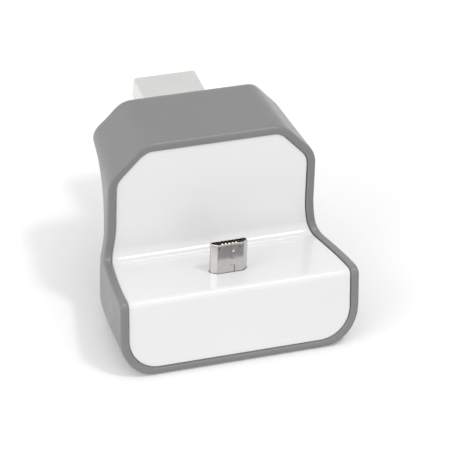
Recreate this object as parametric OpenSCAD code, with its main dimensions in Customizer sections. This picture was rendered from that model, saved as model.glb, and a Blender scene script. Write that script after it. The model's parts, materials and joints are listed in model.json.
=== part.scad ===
// Plug-in charging dock: a grey housing with a white seat, a rear USB-A plug that
// carries it in a wall charger, and a micro-USB plug that stands up through the ledge.
// Frame: origin at the middle of the USB-A plug where it leaves the rear face,
// +Y towards the charger, +Z up, the seat facing -Y.

/* [Seat] */
// How far the seat leans back from upright, in degrees
recline = 11; // [6:0.5:14]
// Depth of the ledge, front to back
ledge_depth = 15.8; // [14.5:0.1:17]
// Height of the white face below the ledge
front_drop = 13.1; // [11.5:0.1:14]
// Lean of that lower face against the back rest, in degrees
front_lean = 5; // [0:0.5:8]
// Height of the white back rest above the ledge
back_rise = 20.9; // [19:0.1:23]
// Half width of the seat at the lower face
low_half_w = 21.0; // [20:0.1:22]
// Half width of the seat at the back rest
top_half_w = 18.2; // [17.5:0.1:19]
// Corner radius at the foot of the lower face
corner_r = 5.7; // [4:0.1:7]
// Size of the 45 degree corners at the top
top_chamfer = 5.4; // [4:0.1:6.5]
// Radius that rounds those corners
chamfer_r = 3.4; // [2.5:0.1:4]
// Radius between the ledge and the back rest
fillet_r = 2.4; // [1.5:0.1:3]
// Radius of the ledge's front edge
lip_r = 1.2; // [0.6:0.1:1.5]
// Thickness of the white panel
panel_t = 1.4; // [1.2:0.1:1.6]

/* [Housing] */
// Width of the grey rim round the panel
rim_w = 1.5; // [1.2:0.1:2]
// How far the rim stands proud of the panel
rim_proud = 0.3; // [0.1:0.05:0.5]
// Wall thickness
wall = 1.8; // [1.5:0.1:2]
// Rear face, measured back from the corner of the seat
rear_y = 18.2; // [17.5:0.1:19.5]
// Middle of the USB-A plug above the corner of the seat
plug_z = 14.2; // [13.6:0.1:14.8]
// Half width of the spine that carries the wires down the back
spine_half_w = 12.2; // [10.5:0.1:12.5]

/* [USB-A plug] */
// Width of the metal shell
usb_w = 12.0; // [11.9:0.05:12.1]
// Height of the metal shell
usb_h = 4.5; // [4.4:0.05:4.6]
// Length that stands out of the rear face
usb_out = 12.0; // [11.5:0.1:12.5]

/* [Micro plug] */
// Width of the wide side of the shell
micro_w = 6.85; // [6.8:0.01:6.9]
// Thickness of the shell, front to back
micro_t = 1.8; // [1.75:0.01:1.85]
// Width of the narrow front side
micro_front_w = 4.9; // [4.7:0.1:5.4]
// Length that stands above the ledge
micro_out = 5.7; // [5.3:0.1:6]
// Middle of the plug, measured forward from the corner of the seat
micro_y = 9.3; // [8.5:0.1:10]

/* [Hidden] */
$fn = 32;

big = 120;              // longer than the dock, for cutting prisms
eps = 0.02;             // overlap that joins two features of one piece
gap = 0.1;              // fitting gap between the panel and its pocket
shelf = 0.8;            // ledge inside the housing that the panel rests on

// widths change from low_half_w to top_half_w between these values of y + z
width_from = -13;
width_to = 8;

// outline of the neck and the rear, from the corner of the seat
neck_y = 3.8;           // meeting point of the block's underside and the rear wall
neck_z = 13.2;
neck_r = 13;            // large hollow under the block
block_low_z = 13.7;     // lower edge of the rear face at the sides
base_rear_y = 1.1;      // where the base would meet the rear wall
base_r = 8.8;           // large round at the rear of the base
edge_r = 1.5;           // round of the rear face's edges
draft = 6.2;            // the block's sides draw in towards the rear, in degrees
draft_y = 3;            // where that starts
base_draft_angle = 9;   // the base's sides draw in more
base_draft_y = -12;
base_draft_end = 6;
spine_low_z = 8.4;      // lower edge of the rear face in the middle
spine_top_half_w = 17.2;

// screws
screw_r = 0.78;
pilot_r = 0.8;
clear_r = 1.1;
head_r = 1.7;
head_h = 1.2;
boss_r = 2.1;

// USB-A plug
usb_in = 7.2;           // length inside the rear face
usb_t = 0.3;            // sheet thickness
usb_r = 0.6;            // corner radius
usb_x = [-3.5, -1, 1, 3.5];
usb_reach = [10.6, 9.6, 9.6, 10.6];
usb_pin_w = 1.0;
usb_pin_t = 0.2;
usb_pin_z = -0.2;       // middle of the pins
usb_tail_y = -9.0;
usb_window = [2.5, 2.0];
usb_window_x = 3.1;
usb_window_y = 3.9;
carrier = [15, 5.4, 7.4];
bracket_y = -7.3;       // rear side of the bracket
bracket_t = 1.2;
bracket_screw_x = 10.5;
running = 0.03;         // gap round pieces that are pushed into each other

// micro plug, in a frame whose origin is its foot on the ledge and +Z its axis
micro_in = 4.6;         // length below the ledge, down to the board
micro_wall = 0.25;
micro_side_y = -0.1;    // where the bevels of the narrow side start
micro_pitch = 0.65;
micro_pin_w = 0.3;
micro_pin_t = 0.12;
micro_pin_y = 0.17;     // middle of the pins
micro_pin_top = 5.4;
micro_tail = -6.1;
latch_x = 1.95;
latch_w = 0.5;
latch_t = 0.18;
latch_y = -0.51;        // middle of the spring arm
latch_root_z = -1.0;
latch_root_r = 0.2;     // rolled root that the arm turns about
latch_top_z = 5.35;
latch_hook = [0.5, 0.55, 0.6];
latch_hook_y = -1.15;   // tip of the hook
board = [19, 8, 1.0];
board_screw_x = 7;
wire_hole_y = 3.0;
wire_x = [-3, -1, 1, 3];
wire_r = 0.45;

// ---------- plane geometry ----------
function unit(v) = v / norm(v);
function clamp01(t) = min(1, max(0, t));
function smooth(t) = t * t * (3 - 2 * t);
function wrap(a) = a > 180 ? a - 360 : (a < -180 ? a + 360 : a);

// points of a round corner at p, between its neighbours a and b
function corner(a, p, b, r, n) =
    let (u = unit(a - p), v = unit(b - p), h = acos(u * v) / 2,
         c = p + unit(u + v) * r / sin(h),
         s = p + u * r / tan(h) - c, e = p + v * r / tan(h) - c,
         a0 = atan2(s[1], s[0]), da = wrap(atan2(e[1], e[0]) - a0))
    [for (i = [0:n]) c + r * [cos(a0 + da * i / n), sin(a0 + da * i / n)]];

function rounded(v, r, n = 6) =
    let (m = len(v))
    [for (i = [0:m - 1]) each corner(v[(i + m - 1) % m], v[i], v[(i + 1) % m], r[i], n)];

// a counter-clockwise outline with each edge i moved outward by d[i]
function edge_normal(a, b) = let (t = unit(b - a)) [t[1], -t[0]];
function meet(p, n, q, m) =
    let (det = n[0] * m[1] - n[1] * m[0], a = p * n, b = q * m)
    [(a * m[1] - b * n[1]) / det, (b * n[0] - a * m[0]) / det];
function moved(v, d) =
    let (m = len(v))
    [for (i = [0:m - 1])
        let (j = (i + m - 1) % m,
             n0 = edge_normal(v[j], v[i]), n1 = edge_normal(v[i], v[(i + 1) % m]))
        meet(v[j] + n0 * d[j], n0, v[i] + n1 * d[i], n1)];

// ---------- side outline, as [y, z] from the corner of the seat ----------
function tilted(p) = [p[0] * cos(recline) + p[1] * sin(recline),
                      -p[0] * sin(recline) + p[1] * cos(recline)];
function low_face(d) = tilted([-ledge_depth - d * sin(front_lean), -d * cos(front_lean)]);
top_front = tilted([0, back_rise + rim_w]);
top_z = top_front[1];
base_z = low_face(front_drop + rim_w)[1];
panel_top_z = tilted([0, back_rise])[1];
panel_base_z = low_face(front_drop)[1];

side = [
    low_face(front_drop + rim_w),
    [base_rear_y, base_z],
    [neck_y, neck_z],
    [rear_y, block_low_z],
    [rear_y, top_z],
    top_front,
    [0, 0],
    tilted([-ledge_depth, 0])
];
// shell: inward shift of base, rear and top; face: inward shift of the seat side
function side_outline(shell, face) =
    rounded(moved(side, [-shell, -shell, -shell, -shell, -shell, -face, -face, -face]),
            [0.8, base_r - shell, neck_r + shell, max(0.3, edge_r - shell),
             max(0.3, edge_r - shell), 0.5, max(0.3, fillet_r + face), max(0.3, lip_r - face)]);

// everything in front of a surface that lies depth behind the seat's face
function ahead_of(depth) =
    let (v = moved(side, [0, 0, 0, 0, 0, -depth, -depth, -depth]),
         curve = [each corner(v[5], v[6], v[7], fillet_r + depth, 6),
                  each corner(v[6], v[7], v[0], max(0.3, lip_r - depth), 4)])
    [v[5] + unit(v[5] - v[6]) * 20, each curve, v[0] + unit(v[0] - v[7]) * 20,
     [-60, -40], [-60, 60]];

module along_x(points, width = big) {
    rotate([90, 0, 90])
        linear_extrude(width, center = true)
            polygon(points);
}

// outline in X and Z, drawn out along Y from y0 to y1
module along_y(points, y0 = -big / 2, y1 = big / 2) {
    translate([0, y1, 0])
        rotate([90, 0, 0])
            linear_extrude(y1 - y0)
                polygon(points);
}

// the seat's width, drawn out along the diagonal so that it tapers with y + z
function half_width(c) =
    top_half_w + (low_half_w - top_half_w)
        * smooth(clamp01((width_to - c) / (width_to - width_from)));
function width_side(grow) =
    [for (c = [-50, each [for (i = [0:14]) width_from + (width_to - width_from) * i / 14], 60])
        [half_width(c) + grow, c / sqrt(2)]];
module width_prism(grow) {
    right = width_side(grow);
    rotate([45, 0, 0])
        linear_extrude(big, center = true)
            polygon([each right, for (i = [len(right) - 1:-1:0]) [-right[i][0], right[i][1]]]);
}

// round lower corners and 45 degree upper corners, seen from the front
function head_z(grow) = panel_top_z + grow * (top_z - panel_top_z) / rim_w;
function foot_z(grow) = panel_base_z - grow * (panel_base_z - base_z) / rim_w;
function chamfered(grow) =
    let (w = top_half_w + grow, head = head_z(grow), r = chamfer_r + grow,
         low = [w, panel_top_z - top_chamfer + grow * tan(22.5)],
         high = [w + low[1] - head, head])
    [each corner([w, 0], low, high, r, 5), each corner(low, high, [0, head], r, 5)];
module front_prism(grow) {
    w = low_half_w + grow;
    foot = foot_z(grow);
    right = [each corner([0, foot], [w, foot], [w, 6], corner_r + grow, 8),
             [w, 6], [top_half_w + grow, 9], each chamfered(grow)];
    along_y([each right, for (i = [len(right) - 1:-1:0]) [-right[i][0], right[i][1]]]);
}

// the sides of the base and of the block draw in towards the rear
module base_draft(grow) {
    w = low_half_w + grow;
    rear_w = w - (base_draft_end - base_draft_y) * tan(base_draft_angle);
    linear_extrude(big, center = true)
        polygon([[-w, -60], [w, -60], [w, base_draft_y], [rear_w, base_draft_end],
                 [rear_w, 60], [-rear_w, 60], [-rear_w, base_draft_end], [-w, base_draft_y]]);
}
module draft_half(grow) {
    w = top_half_w + grow;
    translate([w, draft_y, 0])
        rotate([0, 0, draft])
            translate([-w, 0, 0])
                along_y([[-big / 2, -big / 2], [w, -big / 2], each chamfered(grow),
                         [-big / 2, head_z(grow)]]);
}
module drafted(grow) {
    translate([-big / 2, -big / 2, -big / 2])
        cube([big, big / 2 + draft_y, big]);
    intersection() {
        draft_half(grow);
        mirror([1, 0, 0]) draft_half(grow);
    }
}

// the middle of the back: a spine round the plug and down over the wires
function spine_side(shell) =
    rounded(moved([[-1, -6.5], [2.6, -6.5], [7.2, 7.2], [rear_y, spine_low_z],
                   [rear_y, 17], [-1, 17]],
                  [-shell, -shell, -shell, -shell, 0, 0]),
            [0.1, 0.3, 5 + shell, max(0.3, 1.2 - shell), 0.1, 0.1]);
function spine_front(shell) =
    let (a = spine_half_w - shell, b = spine_top_half_w - shell, z = spine_low_z + 0.5)
    [[-a, -12], [a, -12], [a, z], [b, z + b - a], [b, 15], [b - 2.5, 17.5],
     [2.5 - b, 17.5], [-b, 15], [-b, z + b - a], [-a, z]];
module spine(shell) {
    intersection() {
        along_x(spine_side(shell));
        along_y(spine_front(shell));
    }
}

module block_body(grow, shell, face) {
    intersection() {
        along_x(side_outline(shell, face));
        width_prism(grow);
        front_prism(grow);
        base_draft(grow);
        drafted(grow);
    }
}

// ---------- frames ----------
module seat_frame() {
    translate([0, -rear_y, -plug_z]) children();
}
module ledge_frame() {
    seat_frame() rotate([-recline, 0, 0]) children();
}
module micro_frame() {
    ledge_frame() translate([0, -micro_y, 0]) children();
}

// ---------- enclosure ----------
catch_y = [-12.2, 4.6];
catch_z = [-3.0, 13.2];
catch_x = [low_half_w - shelf, top_half_w - shelf - 0.45];
catch_len = 3.6;
module housing() {
    color("#8f9092")
    difference() {
        seat_frame()
        difference() {
            union() {
                difference() {
                    union() {
                        block_body(rim_w, 0, -rim_proud);
                        spine(0);
                    }
                    block_body(-shelf, wall, -5);
                    spine(wall);
                }
                for (s = [-1, 1])
                    for (i = [0, 1])
                        translate([s * (catch_x[i] + 0.1), catch_y[i], catch_z[i]])
                            cube([1.2, 0.8, catch_len], center = true);
            }
            intersection() {
                along_x(ahead_of(panel_t));
                width_prism(0);
                front_prism(0);
            }
        }
        rotate([90, 0, 0])
            linear_extrude(8, center = true)
                polygon(plate(usb_w + 0.1, usb_h + 0.1, usb_r));
    }
    color("#8f9092")
    for (s = [-1, 1])
        translate([s * bracket_screw_x, 0, 0])
            rotate([90, 0, 0])
                difference() {
                    translate([0, 0, wall - eps]) cylinder(r = boss_r, h = 7.25 - wall);
                    translate([0, 0, wall + 0.4]) cylinder(r = pilot_r, h = 7);
                }
}

function plate(w, h, r) =
    rounded([[-w / 2, -h / 2], [w / 2, -h / 2], [w / 2, h / 2], [-w / 2, h / 2]],
            [r, r, r, r], 5);

module front_panel() {
    color("#f2f2f3") {
        seat_frame() {
            difference() {
                intersection() {
                    along_x(side_outline(-5, 0));
                    along_x(ahead_of(panel_t));
                    width_prism(-gap);
                    front_prism(-gap);
                }
                rotate([-recline, 0, 0])
                    translate([0, -micro_y, 0])
                        linear_extrude(8, center = true)
                            polygon(micro_outline(0.12));
            }
            for (s = [-1, 1])
                for (i = [0, 1])
                    hook(s, i);
        }
        for (s = [-1, 1])
            micro_frame()
                translate([s * board_screw_x, 0, -micro_in])
                    difference() {
                        cylinder(r = 2, h = micro_in - panel_t + eps);
                        translate([0, 0, -eps]) cylinder(r = pilot_r, h = 2.7);
                    }
    }
}

// snap hook that runs back from the panel and grips behind a rib of the housing
module hook(s, i) {
    x = catch_x[i] - 1.05;
    start_y = i == 0 ? low_face(-catch_z[0] + 1.2)[0] + panel_t : catch_z[1] * tan(recline) + panel_t;
    length = catch_y[i] + 1.3 - start_y;
    translate([s * x, start_y + length / 2 - 0.2, catch_z[i]])
        cube([0.9, length + 0.4, catch_len - 1], center = true);
    translate([s * (x + 0.5), catch_y[i] + 0.9, catch_z[i]])
        cube([0.7, 0.7, catch_len - 1], center = true);
}

// ---------- USB-A plug ----------
module usb_sheet(w, h, r, y0, y1) {
    translate([0, y1, 0])
        rotate([90, 0, 0])
            linear_extrude(y1 - y0)
                polygon(plate(w, h, r));
}
module usb_shell() {
    color("#cfd0cc")
    difference() {
        usb_sheet(usb_w, usb_h, usb_r, -usb_in, usb_out);
        usb_sheet(usb_w - 2 * usb_t, usb_h - 2 * usb_t, usb_r - usb_t, -big, big);
        for (s = [-1, 1])
            translate([s * usb_window_x, usb_window_y + usb_window[1] / 2, 0])
                cube([usb_window[0], usb_window[1], 10], center = true);
    }
}
module usb_insulator() {
    w = usb_w - 2 * usb_t - 2 * running;
    h = usb_h - 2 * usb_t - 2 * running;
    color("#f4f4f2")
    difference() {
        union() {
            usb_sheet(w, h, 0.25, -usb_in + 0.1, 0);
            translate([-w / 2 + 0.2, -eps, -h / 2])
                cube([w - 0.4, usb_out - 0.6, h / 2 + usb_pin_z + usb_pin_t / 2 + 0.02]);
        }
        for (x = usb_x)
            translate([x, 0, usb_pin_z])
                cube([usb_pin_w + 0.06, big, usb_pin_t + 0.06], center = true);
    }
}
module usb_contact(i) {
    color("#d8b25a")
    translate([usb_x[i] - usb_pin_w / 2, usb_tail_y, usb_pin_z - usb_pin_t / 2])
        cube([usb_pin_w, usb_reach[i] - usb_tail_y, usb_pin_t]);
}
module usb_contact_vbus() { usb_contact(3); }
module usb_contact_dminus() { usb_contact(2); }
module usb_contact_dplus() { usb_contact(1); }
module usb_contact_ground() { usb_contact(0); }

// moulded block round the rear end of the shell
module usb_carrier() {
    y1 = -wall - 0.05;
    color("#2c2c2e")
    difference() {
        usb_sheet(carrier[0], carrier[2], 1.0, y1 - carrier[1], y1);
        usb_sheet(usb_w + 2 * running, usb_h + 2 * running, usb_r, -big, big);
    }
}
// plate that clamps the carrier against the rear wall
module plug_bracket() {
    color("#b9bcc0")
    translate([0, bracket_y, 0])
        rotate([90, 0, 0])
            difference() {
                linear_extrude(bracket_t) polygon(plate(26, 6.4, 1.5));
                translate([0, 0, -1]) linear_extrude(4) polygon(plate(9.4, 2.6, 0.5));
                for (s = [-1, 1])
                    translate([s * bracket_screw_x, 0, -1]) cylinder(r = clear_r, h = 4);
            }
}
// self-tapping screw with its head's underside at the origin and its tip along -Z
module screw(length) {
    color("#9a9da1")
    difference() {
        union() {
            cylinder(r = head_r, h = head_h);
            translate([0, 0, -length]) cylinder(r = screw_r, h = length + eps);
        }
        for (a = [0, 90])
            rotate([0, 0, a])
                translate([0, 0, head_h])
                    cube([1.9, 0.4, 1.0], center = true);
    }
}
module bracket_screw(s) {
    translate([s * bracket_screw_x, bracket_y - bracket_t, 0])
        rotate([90, 0, 0])
            screw(5.2);
}
module bracket_screw_left() { bracket_screw(-1); }
module bracket_screw_right() { bracket_screw(1); }

// ---------- micro plug ----------
// grow moves the whole outline outward; the narrow side faces -Y
function micro_outline(grow) =
    let (w = micro_w / 2 + grow, t = micro_t / 2 + grow, f = micro_front_w / 2 + grow * 0.6,
         r = max(0.12, 0.35 + grow))
    rounded([[-f, -t], [f, -t], [w, micro_side_y], [w, t], [-w, t], [-w, micro_side_y]],
            [0.14, 0.14, 0.16, r, r, 0.16], 4);
module micro_tube(grow, z0, z1) {
    translate([0, 0, z0])
        linear_extrude(z1 - z0)
            polygon(micro_outline(grow));
}
module micro_shell() {
    color("#c9cac6")
    micro_frame()
        difference() {
            micro_tube(0, -micro_in, micro_out);
            micro_tube(-micro_wall, -big, big);
            for (s = [-1, 1])
                translate([s * latch_x, -micro_t / 2, latch_top_z - latch_hook[2] / 2])
                    cube([latch_w + 0.1, 1.2, latch_hook[2] + 0.24], center = true);
        }
}
module micro_insulator() {
    color("#1d1d1f")
    micro_frame()
        difference() {
            micro_tube(-micro_wall - running, -micro_in, micro_out - 0.65);
            // space for the socket's tongue
            translate([0, micro_pin_y - 0.38, 1 + big / 2])
                cube([micro_w - 1.1, 0.76, big], center = true);
            // spring arms
            for (s = [-1, 1])
                translate([s * latch_x, -0.35, latch_root_z - latch_root_r - 0.1 + big / 2])
                    cube([latch_w + 0.2, 0.8, big], center = true);
            for (i = [-2:2])
                translate([i * micro_pitch, micro_pin_y, 0])
                    cube([micro_pin_w + 0.04, micro_pin_t + 0.04, big], center = true);
        }
}
module micro_contact(i) {
    color("#d8b25a")
    micro_frame()
        translate([i * micro_pitch, micro_pin_y, 0]) {
            translate([-micro_pin_w / 2, -micro_pin_t / 2, micro_tail])
                cube([micro_pin_w, micro_pin_t, micro_pin_top - micro_tail]);
            translate([0, -0.06, micro_pin_top - 0.15])
                rotate([0, 90, 0])
                    cylinder(r = 0.13, h = micro_pin_w, center = true);
        }
}
module micro_contact_vbus() { micro_contact(2); }
module micro_contact_dminus() { micro_contact(1); }
module micro_contact_dplus() { micro_contact(0); }
module micro_contact_id() { micro_contact(-1); }
module micro_contact_ground() { micro_contact(-2); }

// spring arm with the hook that holds the phone's socket
module micro_latch(s) {
    color("#b5b6b2")
    micro_frame()
        translate([s * latch_x, 0, 0]) {
            translate([-latch_w / 2, latch_y - latch_t / 2, latch_root_z])
                cube([latch_w, latch_t, latch_top_z - latch_root_z]);
            translate([0, latch_y, latch_root_z])
                rotate([0, 90, 0])
                    cylinder(r = latch_root_r, h = latch_w, center = true);
            translate([-latch_hook[0] / 2, latch_hook_y, latch_top_z - latch_hook[2]])
                cube([latch_hook[0], latch_y - latch_hook_y, latch_hook[2]]);
        }
}
module micro_latch_left() { micro_latch(-1); }
module micro_latch_right() { micro_latch(1); }

module micro_collar() {
    color("#2c2c2e")
    micro_frame()
        difference() {
            translate([0, 0, -micro_in])
                linear_extrude(micro_in - panel_t - 0.1)
                    polygon(plate(9.4, 4.4, 0.6));
            micro_tube(running, -big, big);
        }
}
module dock_board() {
    color("#2f6b45")
    micro_frame()
        translate([0, 0, -micro_in - board[2] - 0.02])
            difference() {
                linear_extrude(board[2]) polygon(plate(board[0], board[1], 0.8));
                for (s = [-1, 1])
                    translate([s * board_screw_x, 0, -1]) cylinder(r = clear_r, h = 4);
                for (x = wire_x)
                    translate([x, wire_hole_y, -1]) cylinder(r = wire_r + 0.05, h = 4);
                for (i = [-2:2])
                    translate([i * micro_pitch, micro_pin_y, -1]) cylinder(r = 0.19, h = 4);
            }
}
module board_screw(s) {
    micro_frame()
        translate([s * board_screw_x, 0, -micro_in - board[2] - 0.04])
            mirror([0, 0, 1])
                screw(3.4);
}
module board_screw_left() { board_screw(-1); }
module board_screw_right() { board_screw(1); }

// ---------- wires ----------
// the four routes share one side view, as [y, z] from the corner of the seat
wire_route = [
    [9.1, 14.0], [8.0, 13.9], [6.9, 13.4], [6.0, 12.5], [5.4, 11.3], [5.0, 9.8],
    [4.6, 8.2], [4.2, 6.6], [3.7, 5.0], [3.15, 3.4], [2.7, 1.8], [2.3, 0.4],
    [1.7, -0.9], [0.7, -1.9], [-0.6, -2.5], [-2.3, -2.7], [-4.2, -2.6]
];
function wire_end(k) =
    let (p = tilted([wire_hole_y - micro_y, -micro_in + 0.55 - 0.5 * k])) p;
function wire_points(i) =
    let (side = [each wire_route, [-6.3, -2.15], wire_end(0.4), wire_end(1.2), wire_end(2.4)],
         n = len(side) - 1)
    [for (k = [0:n])
        [usb_x[i] + (wire_x[i] - usb_x[i]) * smooth(clamp01(k / (n - 3))), side[k][0], side[k][1]]];
module tube(points, r, sides = 8) {
    n = len(points);
    dirs = [for (k = [0:n - 1])
        unit(points[min(n - 1, k + 1)] - points[max(0, k - 1)])];
    rings = [for (k = [0:n - 1])
        let (b = unit(cross(dirs[k], cross([1, 0, 0], dirs[k]))), c = cross(dirs[k], b))
        for (j = [0:sides - 1])
            points[k] + r * (b * cos(360 * j / sides) + c * sin(360 * j / sides))];
    faces = [
        [for (j = [0:sides - 1]) j],
        [for (j = [sides - 1:-1:0]) (n - 1) * sides + j],
        for (k = [0:n - 2])
            for (j = [0:sides - 1])
                [k * sides + (j + 1) % sides, k * sides + j,
                 (k + 1) * sides + j, (k + 1) * sides + (j + 1) % sides]
    ];
    polyhedron(rings, faces, convexity = 6);
}
module wire(i) {
    seat_frame() tube(wire_points(i), wire_r);
}
module wire_vbus() { color("#c22f2a") wire(3); }
module wire_dminus() { color("#ececea") wire(2); }
module wire_dplus() { color("#2f8f4a") wire(1); }
module wire_ground() { color("#202022") wire(0); }

housing();
front_panel();
usb_shell();
usb_insulator();
usb_contact_vbus();
usb_contact_dminus();
usb_contact_dplus();
usb_contact_ground();
usb_carrier();
plug_bracket();
bracket_screw_left();
bracket_screw_right();
micro_shell();
micro_insulator();
micro_contact_vbus();
micro_contact_dminus();
micro_contact_dplus();
micro_contact_id();
micro_contact_ground();
micro_latch_left();
micro_latch_right();
micro_collar();
dock_board();
board_screw_left();
board_screw_right();
wire_vbus();
wire_dminus();
wire_dplus();
wire_ground();
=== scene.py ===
import json
import math

import bmesh
import bpy
from mathutils import Matrix, Vector
from mathutils.kdtree import KDTree


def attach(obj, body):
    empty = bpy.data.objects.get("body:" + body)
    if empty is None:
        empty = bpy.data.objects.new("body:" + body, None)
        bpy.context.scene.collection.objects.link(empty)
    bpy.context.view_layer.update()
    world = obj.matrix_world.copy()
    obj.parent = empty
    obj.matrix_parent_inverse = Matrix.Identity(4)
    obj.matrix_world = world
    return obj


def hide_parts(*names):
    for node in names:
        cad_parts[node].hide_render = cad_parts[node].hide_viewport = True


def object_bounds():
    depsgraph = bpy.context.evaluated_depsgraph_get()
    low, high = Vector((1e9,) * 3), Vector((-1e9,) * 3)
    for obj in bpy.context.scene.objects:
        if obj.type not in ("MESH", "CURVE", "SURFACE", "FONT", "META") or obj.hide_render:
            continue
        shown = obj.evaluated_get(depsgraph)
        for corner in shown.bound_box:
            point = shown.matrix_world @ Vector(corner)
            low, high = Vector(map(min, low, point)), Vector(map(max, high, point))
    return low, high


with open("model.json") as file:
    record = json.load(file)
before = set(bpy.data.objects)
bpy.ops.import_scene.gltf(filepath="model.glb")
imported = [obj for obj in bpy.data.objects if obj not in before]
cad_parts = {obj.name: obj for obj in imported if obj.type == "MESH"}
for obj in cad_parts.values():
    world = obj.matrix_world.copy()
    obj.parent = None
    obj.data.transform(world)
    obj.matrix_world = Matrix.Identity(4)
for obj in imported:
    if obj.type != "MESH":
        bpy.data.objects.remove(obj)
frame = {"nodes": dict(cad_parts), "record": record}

CAD_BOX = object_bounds()
NODES = frame["nodes"]
MM = 0.001

# ---------------------------------------------------------------- sizes, mm
RECLINE = math.radians(11)
SEAT = Vector((0, -18.2, -14.2))       # corner of ledge and back rest
LEDGE = 15.8                           # depth of the ledge
DROP = 13.1                            # length of the lower face
LEAN = math.radians(5)                 # lower face, from square to the ledge
RISE = 20.9                            # length of the back rest
LOW_W, TOP_W = 21.0, 18.2              # half widths of the white outline, low and high
W_FROM, W_TO = -13.0, 8.0              # where the width changes, along the diagonal
CORNER_R = 5.7                         # lower corners
CHAMFER = 5.4                          # upper corners
CHAMFER_R = 3.4                        # rounds at both ends of a chamfer
FILLET = 2.4                           # between ledge and back rest
LIP_R = 1.2                            # between ledge and lower face
PANEL_T = 1.4
PANEL_EDGE = 0.22                      # round edge of the white seat
PANEL_ACROSS = 24                      # faces across the seat
ROW_STEP = 0.6                         # between rows along the seat
GAP = 0.1                              # between the seat and the grey rim

MICRO_Y = 9.3                          # micro plug's middle, ahead of the back rest
MICRO_W, MICRO_T = 6.85, 1.8
MICRO_FRONT = 4.9                      # its narrow side
MICRO_OUT = 5.7                        # its height above the ledge
MICRO_FOOT = -4.6                      # its end below the ledge
MICRO_WALL = 0.25
MICRO_LIP = 0.06                       # how far the mouth's edge turns in
SEAM = 0.09                            # width of the fold seam
SLOT_PLAY = 0.12                       # slot in the seat, round the plug

# softening of the grey housing
VOXEL, QUICK_VOXEL = 0.13, 0.3
RIM_KEEP, RIM_BLEND = 0.45, 0.5        # rim left crisp, then softened towards its outside
FLANK_FROM, FLANK_BLEND = 2.5, 3       # rear side edges: distance from the rim
FLANK_X, FLANK_X_BLEND = 14, 2         # and distance from the middle
ROUND_FLANKS, SOFTEN, LAST_SOFTEN = 220, 40, 6

WELD = 1e-6                            # metres
EIGHTH = math.radians(22.5)


# ---------------------------------------------------------------- materials
def link(tree, a, b):
    tree.links.new(a, b)


def noise(tree, scale, detail=4.0, stretch=None):
    coord = tree.nodes.new("ShaderNodeTexCoord")
    out = coord.outputs["Object"]
    if stretch:
        mapping = tree.nodes.new("ShaderNodeMapping")
        mapping.inputs["Scale"].default_value = stretch
        link(tree, out, mapping.inputs["Vector"])
        out = mapping.outputs["Vector"]
    n = tree.nodes.new("ShaderNodeTexNoise")
    n.inputs["Scale"].default_value = scale
    n.inputs["Detail"].default_value = detail
    n.inputs["Roughness"].default_value = 0.55
    link(tree, out, n.inputs["Vector"])
    return n.outputs["Fac"]


def spread(tree, value, low, high, start=0.3, end=0.7):
    m = tree.nodes.new("ShaderNodeMapRange")
    m.inputs["From Min"].default_value = start
    m.inputs["From Max"].default_value = end
    m.inputs["To Min"].default_value = low
    m.inputs["To Max"].default_value = high
    link(tree, value, m.inputs["Value"])
    return m.outputs["Result"]


def finish(name, color, tone, tone_scale, rough, rough_scale, grain, metal=0.0, coat=0.0,
           coat_rough=0.1, stretch=None):
    """A moulded or metal surface: colour drift, uneven roughness and a fine grain.

    grain is (scale, strength, distance) of the bump; rough is (low, high).
    """
    mat = bpy.data.materials.new(name)
    mat.use_nodes = True
    tree = mat.node_tree
    bsdf = tree.nodes["Principled BSDF"]
    bsdf.inputs["Metallic"].default_value = metal
    bsdf.inputs["Coat Weight"].default_value = coat
    bsdf.inputs["Coat Roughness"].default_value = coat_rough
    ramp = tree.nodes.new("ShaderNodeValToRGB")
    ramp.color_ramp.elements[0].position = 0.3
    ramp.color_ramp.elements[1].position = 0.7
    ramp.color_ramp.elements[0].color = [c * (1 - tone) for c in color] + [1]
    ramp.color_ramp.elements[1].color = [min(1, c * (1 + tone)) for c in color] + [1]
    link(tree, noise(tree, tone_scale), ramp.inputs["Fac"])
    link(tree, ramp.outputs["Color"], bsdf.inputs["Base Color"])
    link(tree, spread(tree, noise(tree, rough_scale, stretch=stretch), *rough),
          bsdf.inputs["Roughness"])
    bump = tree.nodes.new("ShaderNodeBump")
    bump.inputs["Strength"].default_value = grain[1]
    bump.inputs["Distance"].default_value = grain[2]
    link(tree, noise(tree, grain[0], 3.0, stretch=stretch), bump.inputs["Height"])
    link(tree, bump.outputs["Normal"], bsdf.inputs["Normal"])
    return mat


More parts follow.
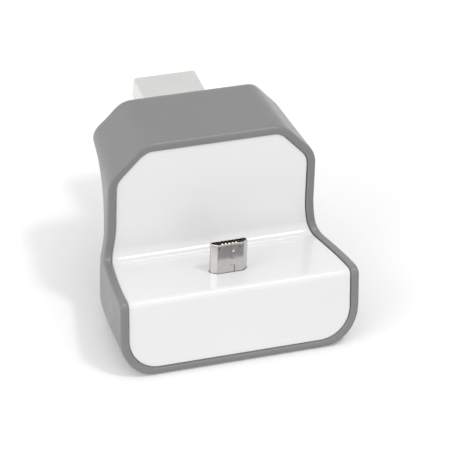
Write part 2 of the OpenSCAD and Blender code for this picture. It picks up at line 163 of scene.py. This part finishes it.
MATS = {
    "grey_plastic": finish("grey_plastic", (0.205, 0.205, 0.206), 0.025, 60, (0.3, 0.37), 700,
                           (2600, 0.35, 0.00003)),
    "white_plastic": finish("white_plastic", (0.77, 0.77, 0.775), 0.008, 50, (0.16, 0.22), 300,
                            (900, 0.05, 0.00003), coat=0.3, coat_rough=0.08),
    "usb_steel": finish("usb_steel", (0.74, 0.74, 0.72), 0.03, 200, (0.24, 0.36), 900,
                        (1500, 0.12, 0.00002), metal=1.0, stretch=(1, 0.15, 1)),
    "micro_steel": finish("micro_steel", (0.6, 0.59, 0.57), 0.05, 500, (0.12, 0.22), 1400,
                          (2500, 0.15, 0.00002), metal=1.0, stretch=(1, 1, 0.2)),
    "spring_steel": finish("spring_steel", (0.5, 0.5, 0.49), 0.04, 500, (0.25, 0.35), 1500,
                           (3000, 0.1, 0.00001), metal=1.0),
    "bracket_steel": finish("bracket_steel", (0.6, 0.61, 0.63), 0.06, 250, (0.3, 0.45), 700,
                            (1200, 0.2, 0.00002), metal=1.0, stretch=(0.15, 1, 1)),
    "screw_steel": finish("screw_steel", (0.45, 0.46, 0.48), 0.06, 600, (0.25, 0.4), 1500,
                          (3000, 0.2, 0.00002), metal=1.0),
    "contact_gold": finish("contact_gold", (0.94, 0.84, 0.62), 0.04, 800, (0.18, 0.3), 2000,
                           (4000, 0.1, 0.00001), metal=1.0),
    "insulator_white": finish("insulator_white", (0.78, 0.78, 0.76), 0.02, 200, (0.42, 0.55), 900,
                              (3500, 0.2, 0.00002)),
    "insulator_black": finish("insulator_black", (0.025, 0.025, 0.028), 0.1, 300, (0.38, 0.5),
                              900, (3500, 0.25, 0.00002)),
    "board_green": finish("board_green", (0.03, 0.17, 0.07), 0.15, 900, (0.25, 0.4), 900,
                          (2200, 0.3, 0.00002), coat=0.4),
    "wire_red": finish("wire_red", (0.5, 0.03, 0.03), 0.06, 300, (0.3, 0.42), 900,
                       (2500, 0.2, 0.00003)),
    "wire_white": finish("wire_white", (0.75, 0.75, 0.73), 0.03, 300, (0.3, 0.42), 900,
                         (2500, 0.2, 0.00003)),
    "wire_green": finish("wire_green", (0.04, 0.3, 0.09), 0.06, 300, (0.3, 0.42), 900,
                         (2500, 0.2, 0.00003)),
    "wire_black": finish("wire_black", (0.02, 0.02, 0.02), 0.1, 300, (0.3, 0.42), 900,
                         (2500, 0.2, 0.00003)),
}

SLOT_OF = {s["node"]: s["material_slot"] for s in frame["record"]["subparts"]}


# ---------------------------------------------------------------- mesh tools
def add_object(name, mesh):
    obj = bpy.data.objects.new(name, mesh)
    bpy.context.scene.collection.objects.link(obj)
    return obj


def mesh_of(name, points, faces, smooth=True):
    mesh = bpy.data.meshes.new(name)
    mesh.from_pydata([Vector(p) * MM for p in points], [], faces)
    mesh.validate()
    bm = bmesh.new()
    bm.from_mesh(mesh)
    bmesh.ops.remove_doubles(bm, verts=bm.verts, dist=1e-7)
    bmesh.ops.recalc_face_normals(bm, faces=bm.faces)
    bm.to_mesh(mesh)
    bm.free()
    for p in mesh.polygons:
        p.use_smooth = smooth
    return mesh


def modifier(obj, kind, **settings):
    m = obj.modifiers.new(kind.lower(), kind)
    for key, value in settings.items():
        setattr(m, key, value)


def applied(obj):
    """Makes the object's modifiers permanent."""
    bpy.context.view_layer.update()
    graph = bpy.context.evaluated_depsgraph_get()
    mesh = bpy.data.meshes.new_from_object(obj.evaluated_get(graph))
    obj.modifiers.clear()
    obj.data = mesh


def cad_copy(name, node):
    """A welded copy of a CAD node's mesh as a new object."""
    mesh = NODES[node].data.copy()
    mesh.materials.clear()
    bm = bmesh.new()
    bm.from_mesh(mesh)
    bmesh.ops.remove_doubles(bm, verts=bm.verts, dist=WELD)
    bm.to_mesh(mesh)
    bm.free()
    return add_object(name, mesh)


def place(obj, slot, body, *nodes):
    obj.data.materials.clear()
    obj.data.materials.append(MATS[slot])
    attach(obj, body)
    if nodes:
        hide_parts(*nodes)


def shade(obj, angle, **settings):
    """Smooth shading that stays sharp at edges over the angle, in degrees."""
    for p in obj.data.polygons:
        p.use_smooth = True
    obj.data.set_sharp_from_angle(angle=math.radians(angle))
    modifier(obj, "WEIGHTED_NORMAL", keep_sharp=True, **settings)


def cut(obj, cutter):
    modifier(obj, "BOOLEAN", operation="DIFFERENCE", object=cutter, solver="EXACT")
    applied(obj)
    bpy.data.objects.remove(cutter, do_unlink=True)


# ---------------------------------------------------------------- geometry
def tilted(y, z):
    """From the seat's own axes to the dock's, in the side view."""
    return Vector((y * math.cos(RECLINE) + z * math.sin(RECLINE),
                   -y * math.sin(RECLINE) + z * math.cos(RECLINE)))


def smooth_step(t):
    t = min(1, max(0, t))
    return t * t * (3 - 2 * t)


def half_width(c):
    """Half width of the white outline at the place c along the diagonal."""
    return TOP_W + (LOW_W - TOP_W) * smooth_step((W_TO - c) / (W_TO - W_FROM))


def arc(a, p, b, r, n):
    """Round corner at p between its neighbours, in the plane."""
    u, v = (a - p).normalized(), (b - p).normalized()
    h = u.angle(v) / 2
    c = p + (u + v).normalized() * r / math.sin(h)
    s, e = p + u * r / math.tan(h) - c, p + v * r / math.tan(h) - c
    a0 = math.atan2(s.y, s.x)
    turn = (math.atan2(e.y, e.x) - a0 + math.pi) % (2 * math.pi) - math.pi
    return [c + Vector((math.cos(a0 + turn * i / n), math.sin(a0 + turn * i / n))) * r
            for i in range(n + 1)]


def run(a, b, step):
    """Even points from a to just before b."""
    n = max(1, int((b - a).length / step))
    return [a.lerp(b, i / n) for i in range(n)]


FOOT = tilted(-LEDGE - DROP * math.sin(LEAN), -DROP * math.cos(LEAN))
TOP = tilted(0, RISE)


def seat_profile():
    """Side view of the white surface from foot to top: points and the lengths where rows go."""
    lip, corner = tilted(-LEDGE, 0), Vector((0, 0))
    lip_arc = arc(FOOT, lip, corner, LIP_R, 12)
    bend = arc(lip, corner, TOP, FILLET, 18)
    pts = run(FOOT, lip_arc[0], ROW_STEP) + lip_arc[:-1] + run(lip_arc[-1], bend[0], ROW_STEP)
    pts += bend[:-1] + run(bend[-1], TOP, ROW_STEP) + [TOP]
    lengths = [0.0]
    for p, q in zip(pts, pts[1:]):
        lengths.append(lengths[-1] + (q - p).length)
    total = lengths[-1]
    # extra rows where the outline turns: round lower corners and the chamfers' two rounds
    foot_rows = [CORNER_R * (1 - math.cos(math.radians(a))) for a in range(0, 91, 5)]
    high = CHAMFER_R * (1 - math.sqrt(0.5))
    top_rows = [CHAMFER_R * (1 - math.cos(math.radians(a))) for a in range(0, 46, 5)]
    low = CHAMFER + CHAMFER_R * math.tan(EIGHTH)
    top_rows += [high + (low - CHAMFER_R * math.sqrt(0.5) - high) * i / 6 for i in range(1, 6)]
    top_rows += [low - CHAMFER_R * math.sin(math.radians(a)) for a in range(45, -1, -5)]
    keep = [v for v in lengths if max(foot_rows) + 0.2 < v < total - max(top_rows) * 1.02 - 0.2]
    rows = sorted(foot_rows + keep + [total - v / math.cos(RECLINE) for v in top_rows])
    return pts, lengths, rows


def along(pts, lengths, s):
    """Point and outward normal at length s of the side view."""
    for i in range(len(pts) - 1):
        if s <= lengths[i + 1] or i == len(pts) - 2:
            break
    span = lengths[i + 1] - lengths[i]
    f = min(1, max(0, (s - lengths[i]) / span))

    def normal(k):
        t = (pts[min(len(pts) - 1, k + 1)] - pts[max(0, k - 1)]).normalized()
        return Vector((-t.y, t.x))
    return pts[i].lerp(pts[i + 1], f), normal(i).lerp(normal(i + 1), f).normalized()


def panel_half(p, inset):
    """Half width of the white outline at the point p of the side view."""
    w = half_width(p.x + p.y) - inset
    foot, top = FOOT.y + inset, TOP.y - inset
    low, r = LOW_W - inset, CORNER_R - inset
    if p.y < foot + r:
        d = min(r, foot + r - p.y)
        w = min(w, low - r + math.sqrt(max(0.0, r * r - d * d)))
    k = math.tan(EIGHTH)
    r = CHAMFER_R - inset
    side, turn = TOP_W - inset, TOP.y - CHAMFER - inset * k - k * r
    flat = TOP_W - CHAMFER - inset * k - k * r
    if p.y > top - r * (1 - math.sqrt(0.5)):
        w = min(w, flat + math.sqrt(max(0.0, r * r - (p.y - top + r) ** 2)))
    elif p.y > turn + r * math.sqrt(0.5):
        w = min(w, flat + k * r + top - p.y)
    elif p.y > turn:
        w = min(w, side - r + math.sqrt(max(0.0, r * r - (p.y - turn) ** 2)))
    return w


def panel_ring(profile, inset, depth):
    """Rows of (point below the surface, half width) of the outline moved inward by inset."""
    pts, lengths, rows = profile
    total, pull = lengths[-1], inset + GAP
    ring = []
    for s in rows:
        p, normal = along(pts, lengths, pull + s * (total - 2 * pull) / total)
        ring.append((p - normal * depth, panel_half(p, pull)))
    return ring


def panel():
    """White seat: a curved sheet with rounded edges, a skirt and a back."""
    profile = seat_profile()
    loops = [(PANEL_EDGE * (1 - math.sin(math.radians(a))),
              PANEL_EDGE * (1 - math.cos(math.radians(a)))) for a in (0, 22, 45, 68, 90)]
    loops.append((0.0, PANEL_T - 0.05))
    points, faces = [], []

    def add(q, x):
        points.append((x + SEAT.x, q.x + SEAT.y, q.y + SEAT.z))
        return len(points) - 1

    def sheet(ring):
        return [[add(q, w * (2 * j / PANEL_ACROSS - 1)) for j in range(PANEL_ACROSS + 1)]
                for q, w in ring]

    def border(grid):
        n = len(grid)
        return ([grid[i][0] for i in range(n - 1, -1, -1)] + grid[0][1:PANEL_ACROSS]
                + [grid[i][PANEL_ACROSS] for i in range(n)] + grid[-1][1:PANEL_ACROSS][::-1])

    def fill(grid):
        for a, b in zip(grid, grid[1:]):
            for j in range(PANEL_ACROSS):
                faces.append((a[j], a[j + 1], b[j + 1], b[j]))

    def loop_only(ring):
        (q0, w0), (q1, w1) = ring[0], ring[-1]
        left = [add(q, -w) for q, w in reversed(ring)]
        bottom = [add(q0, w0 * (2 * j / PANEL_ACROSS - 1)) for j in range(1, PANEL_ACROSS)]
        right_side = [add(q, w) for q, w in ring]
        top = [add(q1, w1 * (2 * j / PANEL_ACROSS - 1)) for j in range(PANEL_ACROSS - 1, 0, -1)]
        return left + bottom + right_side + top

    front = sheet(panel_ring(profile, *loops[0]))
    back = sheet(panel_ring(profile, *loops[-1]))
    fill(front)
    fill([row[::-1] for row in back])
    chain = [border(front)] + [loop_only(panel_ring(profile, *at)) for at in loops[1:-1]]
    chain.append(border(back))
    for a, b in zip(chain, chain[1:]):
        m = len(a)
        for k in range(m):
            faces.append((a[k], b[k], b[(k + 1) % m], a[(k + 1) % m]))
    return add_object("seat_panel", mesh_of("seat_panel", points, faces))


def micro_outline(grow):
    """Cross-section of the micro plug's shell; the narrow side faces -Y."""
    w, t = MICRO_W / 2 + grow, MICRO_T / 2 + grow
    f = MICRO_FRONT / 2 + grow * 0.6
    side_y = -0.1
    r = max(0.12, 0.35 + grow)         # the wide side's corners
    pts = [Vector(p) for p in ((-f, -t), (f, -t), (w, side_y), (w, t), (-w, t), (-w, side_y))]
    radii = (0.14, 0.14, 0.16, r, r, 0.16)
    out = []
    for i in range(6):
        out += arc(pts[i - 1], pts[i], pts[(i + 1) % 6], radii[i], 6)
    return out


MICRO = (Matrix.Translation(SEAT) @ Matrix.Rotation(-RECLINE, 4, "X")
         @ Matrix.Translation((0, -MICRO_Y, 0)))
# the plug's narrow side as a drawing plane, +Z out of the face
MICRO_FRONT_FACE = (MICRO @ Matrix.Translation((0, -MICRO_T / 2, 0))
                    @ Matrix.Rotation(math.radians(90), 4, "X"))


def prism(name, outline, z0, z1, matrix=Matrix.Identity(4)):
    n = len(outline)
    points = [matrix @ Vector((p[0], p[1], z)) for z in (z0, z1) for p in outline]
    faces = [tuple(range(n - 1, -1, -1)), tuple(range(n, 2 * n))]
    faces += [(i, (i + 1) % n, n + (i + 1) % n, n + i) for i in range(n)]
    return add_object(name, mesh_of(name, points, faces, smooth=False))


def bow(x, z, width, thick, n=14):
    """A short curved groove, open side up."""
    r = width / 2
    angles = [math.pi * (1.05 + 0.9 * i / n) for i in range(n + 1)]
    outer = [(x + r * math.cos(a), z + 0.7 * r * math.sin(a)) for a in angles]
    inner = [(x + (r - thick) * math.cos(a), z + (0.7 * r - thick) * math.sin(a))
             for a in reversed(angles)]
    return outer + inner


def block(name, center, size, matrix=Matrix.Identity(4)):
    x, y, z = center
    a, b, c = (s / 2 for s in size)
    outline = [(x - a, y - b), (x + a, y - b), (x + a, y + b), (x - a, y + b)]
    return prism(name, outline, z - c, z + c, matrix)


def ball(name, center, radius, matrix):
    mesh = bpy.data.meshes.new(name)
    bm = bmesh.new()
    bmesh.ops.create_uvsphere(bm, u_segments=24, v_segments=16, radius=radius * MM)
    bm.to_mesh(mesh)
    bm.free()
    mesh.transform(Matrix.Translation(matrix @ Vector(center) * MM))
    return add_object(name, mesh)


def loft_tube(name, rings):
    """Closed body from stacked rings, the last ring joined back to the first."""
    n = len(rings[0])
    points = [p for ring in rings for p in ring]
    faces = []
    for k in range(len(rings)):
        m = (k + 1) % len(rings)
        for i in range(n):
            j = (i + 1) % n
            faces.append((k * n + i, k * n + j, m * n + j, m * n + i))
    return add_object(name, mesh_of(name, points, faces))


# ---------------------------------------------------------------- housing and seat
housing = cad_copy("dock_housing", "housing")
voxel = VOXEL
modifier(housing, "REMESH", mode="VOXEL", voxel_size=voxel * MM, use_smooth_shade=True)
applied(housing)

# round the outer edges well, but keep the lip beside the white seat crisp
seat_edge = panel_ring(seat_profile(), 0.0, 0.0)
line = [Vector((side * w, q.x, q.y)) + SEAT for q, w in seat_edge for side in (-1, 1)]
for q, w in (seat_edge[0], seat_edge[-1]):
    line += [Vector((w * i / 40, q.x, q.y)) + SEAT for i in range(-40, 41)]
tree = KDTree(len(line))
for i, p in enumerate(line):
    tree.insert(p * MM, i)
tree.balance()
group = housing.vertex_groups.new(name="outer")
flanks = housing.vertex_groups.new(name="flanks")
for v in housing.data.vertices:
    far = tree.find(v.co)[2] / MM
    if far > RIM_KEEP:
        group.add([v.index], min(1.0, (far - RIM_KEEP) / RIM_BLEND), "REPLACE")
    side = min(1.0, (far - FLANK_FROM) / FLANK_BLEND,
               (abs(v.co.x) / MM - FLANK_X) / FLANK_X_BLEND)
    if side > 0:
        flanks.add([v.index], side, "REPLACE")
modifier(housing, "SMOOTH", factor=0.8, iterations=ROUND_FLANKS, vertex_group="flanks")
modifier(housing, "SMOOTH", factor=0.5, iterations=SOFTEN, vertex_group="outer")
modifier(housing, "SMOOTH", factor=0.5, iterations=LAST_SOFTEN)
applied(housing)
housing.vertex_groups.clear()
place(housing, "grey_plastic", "dock", "housing")

seat = panel()
cut(seat, prism("slot_cutter", micro_outline(SLOT_PLAY), -4, 4, MICRO))
shade(seat, 35)
place(seat, "white_plastic", "dock", "front_panel")

# ---------------------------------------------------------------- micro plug shell
def micro_rings(specs):
    return [[MICRO @ Vector((p.x, p.y, z)) for p in micro_outline(g)] for g, z in specs]


mouth = MICRO_OUT
micro = loft_tube("micro_plug_shell", micro_rings([
    (0, MICRO_FOOT), (0, mouth - 0.25), (-0.02, mouth - 0.1), (-MICRO_LIP, mouth - 0.02),
    (-MICRO_LIP - 0.05, mouth), (-0.2, mouth), (-0.24, mouth - 0.03),
    (-MICRO_WALL, mouth - 0.1), (-MICRO_WALL, MICRO_FOOT)]))
front = -MICRO_T / 2
# windows for the latch hooks
for side in (-1, 1):
    cut(micro, block("window", (side * 1.95, front, 5.09), (0.58, 1.0, 0.78), MICRO))
# fold seam down the narrow side, with its dovetail step
for center, size in (
        ((0.0, front, 3.6), (SEAM, 0.2, 4.4)),
        ((0.4, front, 1.4), (0.8 + SEAM, 0.2, SEAM)),
        ((0.8, front, 0.0), (SEAM, 0.2, 2.8))):
    cut(micro, block("seam", center, size, MICRO))
cut(micro, prism("press_mark", bow(0.42, 2.95, 0.66, 0.1), -0.3, 0.3, MICRO_FRONT_FACE))
cut(micro, ball("dimple", (0.45, 4.35, 0.2), 0.34, MICRO_FRONT_FACE))
shade(micro, 28, weight=80)
place(micro, "micro_steel", "dock", "micro_shell")

# ---------------------------------------------------------------- pieces kept from the frame
REPLACED = {"housing", "front_panel", "micro_shell"}
BEVEL = {"usb_shell": 0.06, "usb_insulator": 0.08, "usb_carrier": 0.3, "plug_bracket": 0.12,
         "micro_collar": 0.15, "dock_board": 0.06, "micro_insulator": 0.02,
         "micro_latch_left": 0.05, "micro_latch_right": 0.05,
         "bracket_screw_left": 0.08, "bracket_screw_right": 0.08,
         "board_screw_left": 0.08, "board_screw_right": 0.08}
for name, obj in NODES.items():
    if name in REPLACED:
        continue
    obj.data.materials.clear()
    obj.data.materials.append(MATS[SLOT_OF[name]])
    if name in BEVEL:
        modifier(obj, "WELD", merge_threshold=WELD)
        modifier(obj, "BEVEL", width=BEVEL[name] * MM, segments=2, limit_method="ANGLE",
                 angle_limit=math.radians(50))

# ---------------------------------------------------------------- stage
FLOOR_SIZE = 6
FLOOR_DROP = 0.00002                   # keeps the floor clear of the housing's underside
FLOOR_COLOR = (0.93, 0.93, 0.93, 1)
PAINTED_DIM_REFLECTION = (0.3, 0.3, 0.3, 1)    # painted reflection: ahead of the dock the floor is dim to glossy rays only
REFLECTION_DIM_FROM, REFLECTION_DIM_TO = -0.07, -0.02        # painted dark reflection: only glossy rays see the floor in this colour, shading the metal
WORLD_STRENGTH = 0.92


def floor_material():
    mat = bpy.data.materials.new("floor")
    mat.use_nodes = True
    tree = mat.node_tree
    bsdf = tree.nodes["Principled BSDF"]
    bsdf.inputs["Roughness"].default_value = 0.9
    bsdf.inputs["Specular IOR Level"].default_value = 0.1
    path = tree.nodes.new("ShaderNodeLightPath")
    place_at = tree.nodes.new("ShaderNodeTexCoord")
    split = tree.nodes.new("ShaderNodeSeparateXYZ")
    link(tree, place_at.outputs["Object"], split.inputs["Vector"])
    # painted dark reflection: glossy rays see a dim floor ahead of the dock, while the camera
    # sees it evenly bright
    painted_reflection_mask = tree.nodes.new("ShaderNodeMath")
    painted_reflection_mask.operation = "MULTIPLY"
    link(tree, path.outputs["Is Glossy Ray"], painted_reflection_mask.inputs[0])
    link(tree, spread(tree, split.outputs["Y"], 1.0, 0.0, REFLECTION_DIM_FROM, REFLECTION_DIM_TO), painted_reflection_mask.inputs[1])
    color = tree.nodes.new("ShaderNodeMix")
    color.data_type = "RGBA"
    color.inputs[6].default_value = FLOOR_COLOR
    color.inputs[7].default_value = PAINTED_DIM_REFLECTION
    link(tree, painted_reflection_mask.outputs[0], color.inputs[0])
    link(tree, color.outputs[2], bsdf.inputs["Base Color"])
    return mat


low = CAD_BOX[0][2]
bpy.ops.mesh.primitive_plane_add(size=FLOOR_SIZE, location=(0, 0, low - FLOOR_DROP))
floor = bpy.context.active_object
floor.name = "floor"
floor.data.materials.append(floor_material())

scene = bpy.context.scene
scene.view_settings.view_transform = "Standard"
world = bpy.data.worlds.new("studio")
world.use_nodes = True
background = world.node_tree.nodes["Background"]
background.inputs["Color"].default_value = (1, 1, 1, 1)
background.inputs["Strength"].default_value = WORLD_STRENGTH
scene.world = world


def area(name, location, target, size, power):
    data = bpy.data.lights.new(name, "AREA")
    data.shape = "DISK"
    data.size = size
    data.energy = power
    obj = bpy.data.objects.new(name, data)
    scene.collection.objects.link(obj)
    obj.location = location
    aim = Vector(target) - Vector(location)
    obj.rotation_euler = aim.to_track_quat("-Z", "Y").to_euler()


area("key", (-0.75, -0.2, 0.35), (0, -0.01, 0), 0.7, 2.3)
area("strip", (0.29, -0.2, 0.84), (0, -0.02, -0.01), 0.13, 1.5)

# camera above and to the front left of the dock
CAMERA_RIGHT = Vector((0.93805, -0.33274, 0.09658))
CAMERA_UP = Vector((0.13996, 0.61891, 0.77289))
CAMERA_AIM = Vector((0.31695, 0.71150, -0.62714))
CAMERA_AT = Vector((-181.50, -430.89, 353.89))        # mm
cam_data = bpy.data.cameras.new("camera")
cam_data.lens = 258.3
cam_data.sensor_width = 36
cam_data.clip_start = 0.02
cam_data.clip_end = 20
camera = bpy.data.objects.new("camera", cam_data)
scene.collection.objects.link(camera)
basis = Matrix((CAMERA_RIGHT, CAMERA_UP, -CAMERA_AIM)).transposed().to_4x4()
basis.translation = CAMERA_AT * MM
camera.matrix_world = basis
scene.camera = camera
